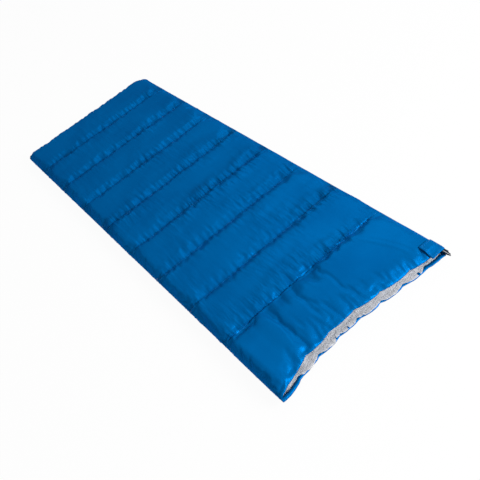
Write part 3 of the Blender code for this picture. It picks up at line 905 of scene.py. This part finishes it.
    def lining(self, half: Half) -> Any:
        """The inner cloth of a half, drawn in at the same seams; the lower one rolls over the lip.

        Args:
            half: which half.

        Returns:
            The piece.
        """
        lay = self.layout
        sign = half.value
        points = self.half_points(half)
        height = np.abs(points[:, :, 2] - lay.middle)
        raised = np.abs(self.cloth.points[:, :, 2] - lay.middle)
        puff = raised - lay.lining_face - lay.seam_thickness
        inner = lay.lining_face + 0.0075 - puff * self.lining_relief
        inner = np.clip(inner, self.room_between(half), 0.0130)
        points[:, :, 2] = lay.middle + sign * np.minimum(inner, height - 0.0022)
        inset = np.array([0.0030 * (1.0 - share) for _, share in self.cloth.across])
        points[:, :, 0] = np.clip(points[:, :, 0] + inset, lay.fold_x + 0.0026, lay.zip_x - 0.0034)
        points[:, :, 1] = np.minimum(points[:, :, 1], lay.foot_y - 0.0034)
        if half is Half.UPPER:
            points[0, :, 1] += 0.0035
        name = f"{half.name.lower()}_quilt_lining"
        grid = bmesh.new()
        rows = sorted({*range(0, 14), *range(14, len(self.cloth.along), 2), *self.cloth.seam_rows})
        columns = sorted({*range(0, len(self.cloth.across), 2), len(self.cloth.across) - 1})
        made = self.add_sheet(grid, points, rows, columns, half is Half.UPPER)
        replaced = [f"{half.name.lower()}_lining", f"{half.name.lower()}_batting"]
        if half is Half.LOWER:
            self.roll_lip(grid, self.edge_of(grid, set(made), "mouth"))
            replaced.append("lower_mouth_hem")
        self.map_cloth(grid)
        if half is Half.LOWER:
            self.map_lip(grid)
        piece = new_piece(name, grid, [self.finishes.lining])
        self.thicken(piece, 0.0005)
        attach(piece, half.name.lower())
        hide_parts(*replaced)
        return piece

    def room_between(self, half: Half) -> np.ndarray:
        """How near the middle plane the lining may come, point by point, clear of what lies between."""
        places = self.half_points(half)
        room = np.full(places.shape[:2], 0.0013)
        for node, margin in (("draught_tube", 0.009), ("care_label", 0.008)):
            if node == "care_label" and half is Half.UPPER:
                continue
            low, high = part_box(node)
            inside = (places[:, :, 0] > low.x - margin) & (places[:, :, 0] < high.x + margin + 0.02)
            inside &= (places[:, :, 1] > low.y - margin) & (places[:, :, 1] < high.y + margin)
            room[inside] = self.layout.lining_face + 0.0004
        return room

    def roll_lip(self, grid: bmesh.types.BMesh, edges: list[Any]) -> None:
        """Roll the lining over the lower mouth edge in soft puffs between its tacks."""
        lay = self.layout
        nominal = grid.verts.layers.float_vector["nominal"]
        start = {round(vert[nominal].x, 5): vert.co.copy() for edge in edges for vert in edge.verts}
        steps = 9
        for step in range(1, steps + 1):
            turn = math.pi * 0.93 * step / steps

            def move(vert: Any, turn: float = turn) -> Vector:
                """Where a point of the mouth edge comes at one turn of the roll."""
                x = vert[nominal].x
                first = start[round(x, 5)]
                inward = max(min((x - lay.fold_x) / 0.07, (lay.zip_x - x) / 0.07, 1.0), 0.0) ** 0.6
                puff = 0.25 + 0.75 * self.scallops(x, 0.086)
                pinch = smooth_noise((x, turn * 0.012, 8.0), 75.0) * 0.0038 * inward
                depth = (0.0020 + 0.0080 * puff * inward + pinch) * math.sin(turn)
                fall = (0.0030 + 0.0085 * inward) * (1.0 - math.cos(turn)) / 2
                rise = 0.0030 * puff * inward * math.sin(turn) ** 2
                held_back = 0.016 * max(1.0 - (x - lay.fold_x) / 0.085, 0.0)
                return Vector((first.x, first.y - depth + held_back, first.z - fall + rise))

            edges = self.drawn_out(grid, edges, move)

    def map_lip(self, grid: bmesh.types.BMesh) -> None:
        """Continue the cloth map down the rolled lip, which shares its nominal places."""
        lay = self.layout
        nominal = grid.verts.layers.float_vector["nominal"]
        layer = grid.loops.layers.uv["cloth"]
        for face in grid.faces:
            if all(vert[nominal].y < lay.mouth_y + 1e-4 for vert in face.verts):
                for loop in face.loops:
                    loop[layer].uv = (loop.vert[nominal].x, loop.vert.co.z * 1.4)

    def stitches(self, half: Half) -> Any:
        """A row of thread stitches down each seam of a half's outer cloth.

        Args:
            half: which half.

        Returns:
            The piece.
        """
        points = self.half_points(half)
        pitch = 0.0042
        matrices = []
        for row in self.cloth.seam_rows[1:-1]:
            line = points[row, 3:-1]
            steps = np.linalg.norm(np.diff(line, axis=0), axis=1)
            reach = np.concatenate([[0.0], np.cumsum(steps)])
            for place in np.arange(pitch, reach[-1] - pitch, pitch):
                spot, further = (Vector([float(np.interp(place + step, reach, line[:, k]))
                                         for k in range(3)]) for step in (0.0, 0.001))
                run = (further - spot).normalized().to_track_quat("X", "Z").to_matrix().to_4x4()
                spot.z += half.value * 0.0003
                matrices.append(Matrix.Translation(spot) @ run)
        stitch = bmesh.new()
        bmesh.ops.create_uvsphere(stitch, u_segments=6, v_segments=4, radius=0.5)
        bmesh.ops.scale(stitch, vec=(0.0031, 0.0009, 0.0008), verts=stitch.verts)
        piece = scatter(f"{half.name.lower()}_quilt_stitches", stitch, matrices, [self.finishes.thread])
        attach(piece, half.name.lower())
        return piece


def scatter(name: str, shape: bmesh.types.BMesh, matrices: list[Matrix], materials: list[Any]) -> Any:
    """Repeat one small shape as a single piece.

    Args:
        name: the piece's name.
        shape: the shape, which is freed.
        matrices: where each copy goes.
        materials: the piece's materials.

    Returns:
        The new object.
    """
    corners = np.array([[*vert.co, 1.0] for vert in shape.verts])
    faces = [[vert.index for vert in face.verts] for face in shape.faces]
    shape.free()
    placed = np.einsum("mij,vj->mvi", np.array([[list(row) for row in one] for one in matrices]), corners)
    mesh = bpy.data.meshes.new(name)
    shifted = [[index + len(corners) * k for index in face] for k in range(len(matrices)) for face in faces]
    mesh.from_pydata(placed[:, :, :3].reshape(-1, 3).tolist(), [], shifted)
    for material in materials:
        mesh.materials.append(material)
    mesh.shade_smooth()
    piece = bpy.data.objects.new(name, mesh)
    bpy.context.scene.collection.objects.link(piece)
    return piece


# ---------------------------------------------------------------- the zip and the closure


@dataclass
class ZipRun:
    """The line of the zip, along the side, round the corner and along the foot."""

    layout: Layout

    def at(self, reach: float) -> tuple[Vector, Vector, Vector]:
        """Where the zip is at a distance from the mouth.

        Args:
            reach: distance along the zip.

        Returns:
            The point on the seam, the way the zip runs, and the way out of the bag.
        """
        lay = self.layout
        side = lay.foot_y - lay.corner_radius - lay.mouth_y
        bend = math.pi / 2 * lay.corner_radius
        if reach < side:
            point = Vector((lay.zip_x, lay.mouth_y + reach, lay.middle))
            return point, Vector((0, 1, 0)), Vector((1, 0, 0))
        if reach < side + bend:
            turn = (reach - side) / lay.corner_radius
            out = Vector((math.cos(turn), math.sin(turn), 0))
            centre = Vector((lay.zip_x - lay.corner_radius, lay.foot_y - lay.corner_radius, lay.middle))
            return centre + out * lay.corner_radius, Vector((-out.y, out.x, 0)), out
        left = reach - side - bend
        point = Vector((lay.zip_x - lay.corner_radius - left, lay.foot_y, lay.middle))
        return point, Vector((-1, 0, 0)), Vector((0, 1, 0))

    @property
    def length(self) -> float:
        """How far the seam reaches, to the fold."""
        lay = self.layout
        straight = lay.foot_y - lay.mouth_y + lay.zip_x - lay.fold_x - 2 * lay.corner_radius
        return straight + math.pi / 2 * lay.corner_radius


@dataclass
class ZipTape:
    """The woven tape of one half, which narrows where it runs out past the mouth."""

    run: ZipRun
    finishes: Finishes
    step: float = 0.007
    wall: float = 0.0008
    tail: float = 0.028

    def build(self, half: Half) -> Any:
        """Make one tape.

        Args:
            half: the half that the tape is sewn to.

        Returns:
            The piece.
        """
        node = f"{half.name.lower()}_zip_tape"
        low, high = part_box(node)
        middle = self.run.layout.middle
        near, far = sorted((abs(low.z - middle), abs(high.z - middle)))
        first = low.y - self.run.layout.mouth_y
        last = self.run.length - (low.x - self.run.layout.fold_x) - 0.0005
        count = round((last - first) / self.step)
        rows = 5
        grid = bmesh.new()
        bmesh.ops.create_grid(grid, x_segments=rows, y_segments=count, size=0.5)
        for index, vert in enumerate(grid.verts):
            j, i = divmod(index, rows + 1)
            reach = first + (last - first) * j / count
            point, _, out = self.run.at(max(reach, 0.0))
            point.y += min(reach, 0.0)
            narrow = min(max(-reach / self.tail, 0.0), 1.0)
            height = near + (far - near) * (i / rows) * (1.0 - 0.62 * narrow)
            bend = out * (0.0011 + 0.0009 * math.sin(i / rows * math.pi) * narrow)
            sag = Vector((0, 0, -0.0012 * narrow ** 2 if half is Half.UPPER else 0.0))
            vert.co = point + bend + Vector((0, 0, half.value * height)) + sag
        if half is Half.UPPER:
            bmesh.ops.reverse_faces(grid, faces=grid.faces)
        unwrap(grid, lambda place: (place.y - place.x, place.z))
        piece = new_piece(f"{half.name.lower()}_tape_strip", grid, [self.finishes.tape])
        QuiltedBag.thicken(piece, self.wall)
        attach(piece, half.name.lower())
        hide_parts(node)
        return piece


@dataclass
class ZipCoil:
    """The meshing elements of the zip, one row to each half."""

    run: ZipRun
    finishes: Finishes
    pitch: float = 0.0026
    out: float = 0.0021

    def build(self, half: Half) -> Any:
        """Make one row of elements.

        Args:
            half: the half that the row is sewn to.

        Returns:
            The piece.
        """
        name = f"{half.name.lower()}_zip_coil"
        low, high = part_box(name)
        first = low.y - self.run.layout.mouth_y
        last = self.run.length - (low.x - self.run.layout.fold_x)
        start = first + (0.5 * self.pitch if half is Half.LOWER else 0.0)
        matrices = []
        for reach in np.arange(start, last, self.pitch):
            point, along, out = self.run.at(float(reach))
            place = point + out * self.out + Vector((0, 0, half.value * 0.0020))
            axes = Matrix((along, out, along.cross(out))).transposed().to_4x4()
            lean = Matrix.Rotation(0.25 * half.value, 4, "Y")
            matrices.append(Matrix.Translation(place) @ axes @ lean)
        tooth = bmesh.new()
        bmesh.ops.create_uvsphere(tooth, u_segments=8, v_segments=5, radius=0.5)
        bmesh.ops.scale(tooth, vec=(0.0015, 0.0034, 0.0042), verts=tooth.verts)
        piece = scatter(f"{half.name.lower()}_coil_elements", tooth, matrices, [self.finishes.coil])
        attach(piece, half.name.lower())
        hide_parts(name)
        return piece


@dataclass
class Hardware:
    """A slider or a pull, modelled inside its frame box in the box's own directions."""

    node: str
    finishes: Finishes
    along: Vector
    out: Vector

    def place(self, a: float, n: float, z: float) -> Vector:
        """A point from its shares of the box: along the zip, outward and up."""
        low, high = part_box(self.node)
        middle, half = (low + high) / 2, (high - low) / 2
        up = Vector((0, 0, 1))
        spans = [abs(half.dot(axis)) for axis in (self.along, self.out, up)]
        steps = ((2 * a - 1) * spans[0], (2 * n - 1) * spans[1], (2 * z - 1) * spans[2])
        return middle + self.along * steps[0] + self.out * steps[1] + up * steps[2]

    def slab(self, grid: bmesh.types.BMesh, low: tuple[float, float, float],
             high: tuple[float, float, float], taper: float = 1.0, bevel: float = 0.0004) -> None:
        """A rounded block between two points of the box, narrower at its far end by taper."""
        made = bmesh.ops.create_cube(grid, size=1.0)["verts"]
        for vert in made:
            share = vert.co + Vector((0.5, 0.5, 0.5))
            a, n, z = (low[k] + (high[k] - low[k]) * share[k] for k in range(3))
            if share.x > 0.5:
                z = 0.5 + (z - 0.5) * taper
            vert.co = self.place(a, n, z)
        edges = list({edge for vert in made for edge in vert.link_edges})
        bmesh.ops.bevel(grid, geom=edges, offset=bevel, affect="EDGES", segments=3, profile=0.5,
                        material=-1)

    def rod(self, grid: bmesh.types.BMesh, points: list[Vector], radius: float, sides: int = 10) -> None:
        """A round rod along some points, closed at both ends."""
        rings = []
        for index, point in enumerate(points):
            run = points[min(index + 1, len(points) - 1)] - points[max(index - 1, 0)]
            turn = run.to_track_quat("Z", "Y").to_matrix().to_4x4()
            ring = bmesh.ops.create_circle(
                grid, cap_ends=index in (0, len(points) - 1), segments=sides, radius=radius,
                matrix=Matrix.Translation(point) @ turn)["verts"]
            rings.append(ring)
        for first, second in zip(rings, rings[1:]):
            for k in range(sides):
                grid.faces.new((first[k], first[(k + 1) % sides], second[(k + 1) % sides], second[k]))

    def finish(self, grid: bmesh.types.BMesh, name: str, body: str) -> Any:
        """Close the piece's mesh, dress it and hang it on its body."""
        bmesh.ops.recalc_face_normals(grid, faces=grid.faces)
        piece = new_piece(name, grid, [self.finishes.metal])
        piece.data.set_sharp_from_angle(angle=math.radians(50))
        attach(piece, body)
        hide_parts(self.node)
        return piece

    def slider(self) -> Any:
        """Two tapering plates on a post, with curled rims and a bail for each pull."""
        grid = bmesh.new()
        two_sided = self.node.startswith("head")
        self.slab(grid, (0.0, 0.60, 0.06), (1.0, 0.72, 0.94), 0.80)
        self.slab(grid, (0.0, 0.26, 0.06), (1.0, 0.38, 0.94), 0.80)
        self.slab(grid, (0.0, 0.34, 0.44), (0.22, 0.64, 0.56), 1.0, 0.0002)
        for z in (0.0, 0.91):
            self.slab(grid, (0.08, 0.50, z), (0.92, 0.70, z + 0.09), 1.0, 0.0002)
            self.slab(grid, (0.08, 0.28, z), (0.92, 0.46, z + 0.09), 1.0, 0.0002)
        for side, used in ((1.0, True), (0.0, two_sided)):
            if used:
                bail = []
                for step in range(11):
                    turn = math.pi * step / 10
                    reach = 0.5 + (0.26 if side else -0.26) * math.sin(turn) ** 0.6 * 0.9
                    n = (0.70 + (reach - 0.5)) if side else (0.30 + (reach - 0.5))
                    bail.append(self.place(0.5 - 0.34 * math.cos(turn), min(max(n, 0.04), 0.96), 0.5))
                self.rod(grid, bail, 0.00055)
        return self.finish(grid, f"{self.node}_body", self.node)

    def pull(self) -> Any:
        """A flat tongue with a thick rim, hung by a ring."""
        grid = bmesh.new()
        self.slab(grid, (0.02, 0.05, 0.16), (0.66, 0.95, 0.84), 0.78, 0.00035)
        self.slab(grid, (0.0, 0.0, 0.10), (0.10, 1.0, 0.90), 1.0, 0.00035)
        ring = [self.place(0.80 + 0.17 * math.cos(turn), 0.5, 0.5 + 0.30 * math.sin(turn))
                for turn in (2 * math.pi * step / 20 for step in range(21))]
        self.rod(grid, ring, 0.00055)
        return self.finish(grid, f"{self.node}_tongue", self.node)


@dataclass
class ClosureTab:
    """The cloth tab over the head of the zip, with a stitched border."""

    finishes: Finishes
    node: str = "closure_tab"
    hem: float = 0.0045
    overhang: float = 0.012
    droop: float = 0.25
    front: float = 0.0

    def build(self) -> list[Any]:
        """Make the tab over its frame node, and its stitches.

        Returns:
            The two pieces.
        """
        low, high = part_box(self.node)
        self.front = low.y + 0.00055
        low.y -= self.overhang
        mesh = bpy.data.objects[self.node].data
        faces = [list(face.vertices) for face in mesh.polygons]
        frame_node = BVHTree.FromPolygons([vert.co for vert in mesh.vertices], faces)
        columns, rows = 24, 22
        grid = bmesh.new()
        bmesh.ops.create_grid(grid, x_segments=columns, y_segments=rows, size=0.5)
        for index, vert in enumerate(grid.verts):
            j, i = divmod(index, columns + 1)
            u, v = i / columns, j / rows
            x = low.x + 0.0004 + (high.x - low.x - 0.0008) * u
            y = low.y + 0.0004 + (high.y - low.y - 0.0008) * v
            top = self.height(frame_node, x, y, high.z)
            edge = min(i, columns - i, j, rows - j) / 2.0
            soft = smooth_noise((x, y, 2.0), 60.0) * 0.0006
            vert.co = Vector((x, y, top + (0.0006 + soft) * min(edge, 1.0)))
        unwrap(grid, lambda place: (place.x, place.y))
        tab = new_piece("tab_cloth", grid, [self.finishes.trim])
        QuiltedBag.thicken(tab, 0.0016)
        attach(tab, "tab")
        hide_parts(self.node)
        matrices = []
        for inset in (self.hem, self.hem + 0.0035):
            corners = [(low.x + inset, low.y + inset), (high.x - inset, low.y + inset),
                       (high.x - inset, high.y - inset), (low.x + inset, high.y - inset)]
            for first, second in zip(corners, corners[1:] + corners[:1]):
                count = int(math.dist(first, second) / 0.0030)
                for step in range(count):
                    share = (step + 0.5) / count
                    x = first[0] + (second[0] - first[0]) * share
                    y = first[1] + (second[1] - first[1]) * share
                    z = self.height(frame_node, x, y, high.z) + 0.0007
                    ahead = Vector((second[0] - first[0], second[1] - first[1], 0)).normalized() * 0.001
                    ahead.z = self.height(frame_node, x + ahead.x, y + ahead.y, high.z) + 0.0007 - z
                    turn = ahead.to_track_quat("X", "Z").to_matrix().to_4x4()
                    matrices.append(Matrix.Translation((x, y, z)) @ turn)
        stitch = bmesh.new()
        bmesh.ops.create_uvsphere(stitch, u_segments=6, v_segments=4, radius=0.5)
        bmesh.ops.scale(stitch, vec=(0.0021, 0.0006, 0.0006), verts=stitch.verts)
        thread = scatter("tab_stitches", stitch, matrices, [self.finishes.thread])
        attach(thread, "tab")
        return [tab, thread]

    def height(self, node: BVHTree, x: float, y: float, top: float) -> float:
        """How high the frame tab's upper face is at a place; past its front edge it droops."""
        shown = max(y, self.front)
        place = node.ray_cast(Vector((x, shown, top + 0.01)), Vector((0, 0, -1)))[0]
        return (place.z if place else top) - self.droop * (shown - y)


@dataclass
class DraughtTube:
    """The padded tube inside the zip."""

    finishes: Finishes
    node: str = "draught_tube"
    rings: int = 150
    sides: int = 16

    def build(self) -> Any:
        """Make the tube in its frame box.

        Returns:
            The piece.
        """
        low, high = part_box(self.node)
        middle, half = (low + high) / 2, (high - low) / 2
        grid = bmesh.new()
        loops = []
        for index in range(self.rings + 1):
            share = index / self.rings
            y = low.y + (high.y - low.y) * share
            end = min(share, 1.0 - share) * self.rings / 3
            round_end = math.sqrt(max(1.0 - (1.0 - min(end, 1.0)) ** 2, 0.02))
            pinch = 1.0 - 0.10 * max(smooth_noise((0.0, y, 4.0), 60.0), 0.0)
            matrix = Matrix.Translation((middle.x, y, middle.z)) @ Matrix.Rotation(math.pi / 2, 4, "X")
            size = Matrix.Diagonal((half.x * round_end * pinch, half.z * 0.97 * round_end * pinch, 1, 1))
            loops.append(bmesh.ops.create_circle(
                grid, cap_ends=index in (0, self.rings), segments=self.sides, radius=1.0,
                matrix=matrix @ size)["verts"])
        for first, second in zip(loops, loops[1:]):
            for k in range(self.sides):
                near, far = (k + 1) % self.sides, k
                grid.faces.new((first[far], first[near], second[near], second[far]))
        bmesh.ops.recalc_face_normals(grid, faces=grid.faces)
        unwrap(grid, lambda place: (place.x + place.z, place.y))
        piece = new_piece("draught_tube_cloth", grid, [self.finishes.lining])
        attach(piece, "upper")
        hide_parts(self.node)
        return piece


# ---------------------------------------------------------------- the studio


@dataclass
class Studio:
    """Floor, lights and camera."""

    viewpoint: Vector = field(default_factory=lambda: Vector((-0.636, -1.911, 1.672)))
    azimuth: float = math.radians(-20.92)
    elevation: float = math.radians(44.30)
    roll: float = math.radians(-24.37)
    lens: float = 48.73

    def camera(self) -> None:
        """Set up the camera from its direction and its roll."""
        back = Vector((
            math.sin(self.azimuth) * math.cos(self.elevation),
            -math.cos(self.azimuth) * math.cos(self.elevation),
            math.sin(self.elevation),
        ))
        right = (-back).cross(Vector((0, 0, 1))).normalized()
        up = right.cross(-back)
        turned = right * math.cos(self.roll) + up * math.sin(self.roll)
        upright = up * math.cos(self.roll) - right * math.sin(self.roll)
        data = bpy.data.cameras.new("camera")
        data.lens = self.lens
        camera = bpy.data.objects.new("camera", data)
        bpy.context.scene.collection.objects.link(camera)
        axes = Matrix((turned, upright, back)).transposed().to_4x4()
        camera.matrix_world = Matrix.Translation(self.viewpoint) @ axes
        bpy.context.scene.camera = camera

    def floor(self) -> None:
        """A wide pale floor that shows white to the camera but keeps the shadow."""
        grid = bmesh.new()
        bmesh.ops.create_grid(grid, x_segments=1, y_segments=1, size=30.0)
        graph = Graph("pale floor")
        vector = graph.object_map()[0]
        speckle = graph.noise(vector, 3.0, 2.0)
        graph.set(Base_Color=graph.mix(speckle, (0.86, 0.86, 0.86), (0.88, 0.88, 0.88)))
        graph.set(Roughness=0.9, Specular_IOR_Level=0.1)
        glow = graph.node("ShaderNodeEmission", None, {"Color": (1, 1, 1, 1), "Strength": 1.0})
        path = graph.node("ShaderNodeLightPath")
        seen = Number(graph, path.outputs["Is Camera Ray"]) + Number(graph, path.outputs["Is Glossy Ray"])
        seen = (seen + Number(graph, path.outputs["Is Transmission Ray"])) * 0.95
        sockets = {0: seen, 1: graph.shader.outputs[0], 2: glow.outputs[0]}
        mixed = graph.node("ShaderNodeMixShader", None, sockets)
        output = graph.tree.nodes["Material Output"]
        graph.join(mixed.outputs[0], output.inputs["Surface"])
        floor = new_piece("floor", grid, [graph.material], False)

    def lights(self) -> None:
        """A large soft light from the mouth's side, a weaker one from the zip's side, and the sky."""
        for name, place, size, power in (
            ("key", (1.9, -3.5, 2.2), 1.8, 170.0),
            ("fill", (2.2, 1.6, 3.0), 2.5, 30.0),
        ):
            data = bpy.data.lights.new(name, "AREA")
            data.size = size
            data.energy = power
            lamp = bpy.data.objects.new(name, data)
            bpy.context.scene.collection.objects.link(lamp)
            lamp.location = place
            lamp.rotation_euler = Vector(place).to_track_quat("Z", "Y").to_euler()
        world = bpy.data.worlds.new("sky")
        bpy.context.scene.world = world
        world.use_nodes = True
        nodes, links = world.node_tree.nodes, world.node_tree.links
        path = nodes.new("ShaderNodeLightPath")
        ray = nodes.new("ShaderNodeMapRange")
        ray.inputs["To Min"].default_value = 0.42
        ray.inputs["To Max"].default_value = 1.0
        links.new(path.outputs["Is Camera Ray"], ray.inputs["Value"])
        nodes["Background"].inputs["Color"].default_value = (1, 1, 1, 1)
        links.new(ray.outputs["Result"], nodes["Background"].inputs["Strength"])

    def build(self) -> None:
        """Make the whole studio."""
        self.camera()
        self.floor()
        self.lights()
        bpy.context.scene.view_settings.view_transform = "Standard"


def dress_nodes(finishes: Finishes, nodes: dict[str, Any]) -> None:
    """Give every frame node that stays in view its finish."""
    by_word = {"tape": finishes.tape, "coil": finishes.coil, "batting": finishes.wool}
    by_word |= {"patch": finishes.pile, "slider": finishes.metal, "pull": finishes.metal}
    by_word |= {"stop": finishes.metal, "label": finishes.label, "tube": finishes.lining}
    by_word |= {"closure_tab": finishes.trim, "hem": finishes.trim, "lining": finishes.lining}
    by_word |= {"shell": finishes.shell, "strip": finishes.shell}
    for name, node in nodes.items():
        for word, material in by_word.items():
            if word in name:
                node.data.materials.clear()
                node.data.materials.append(material)


def main() -> None:
    """Build the bag around its frame."""
    logging.basicConfig(level=logging.INFO, format="%(message)s")
    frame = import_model()
    Studio().build()
    layout = Layout.from_frame(frame["joints"])
    finishes = Finishes()
    dress_nodes(finishes, frame["nodes"])
    cloth = QuiltedCloth(layout)
    cloth.simulate()
    bag = QuiltedBag(layout, finishes, cloth)
    pieces = [bag.shell(), bag.lining(Half.UPPER), bag.lining(Half.LOWER)]
    pieces += [bag.stitches(Half.UPPER), bag.stitches(Half.LOWER)]
    zip_tape, zip_coil = ZipTape(ZipRun(layout), finishes), ZipCoil(ZipRun(layout), finishes)
    pieces += [zip_tape.build(Half.UPPER), zip_tape.build(Half.LOWER)]
    pieces += [zip_coil.build(Half.UPPER), zip_coil.build(Half.LOWER)]
    side, foot = (Vector((0, 1, 0)), Vector((1, 0, 0))), (Vector((1, 0, 0)), Vector((0, 1, 0)))
    pieces += [Hardware("head_slider", finishes, *side).slider()]
    pieces += [Hardware("foot_slider", finishes, *foot).slider()]
    for node, ways in (("head_outer_pull", side), ("head_inner_pull", side)):
        pieces.append(Hardware(node, finishes, *ways).pull())
    pieces.append(Hardware("foot_outer_pull", finishes, -foot[0], foot[1]).pull())
    pieces += [*ClosureTab(finishes).build(), DraughtTube(finishes).build()]
    for piece in pieces:
        LOG.info("%s: %d faces", piece.name, len(piece.data.polygons))


if __name__ == "__main__":
    main()
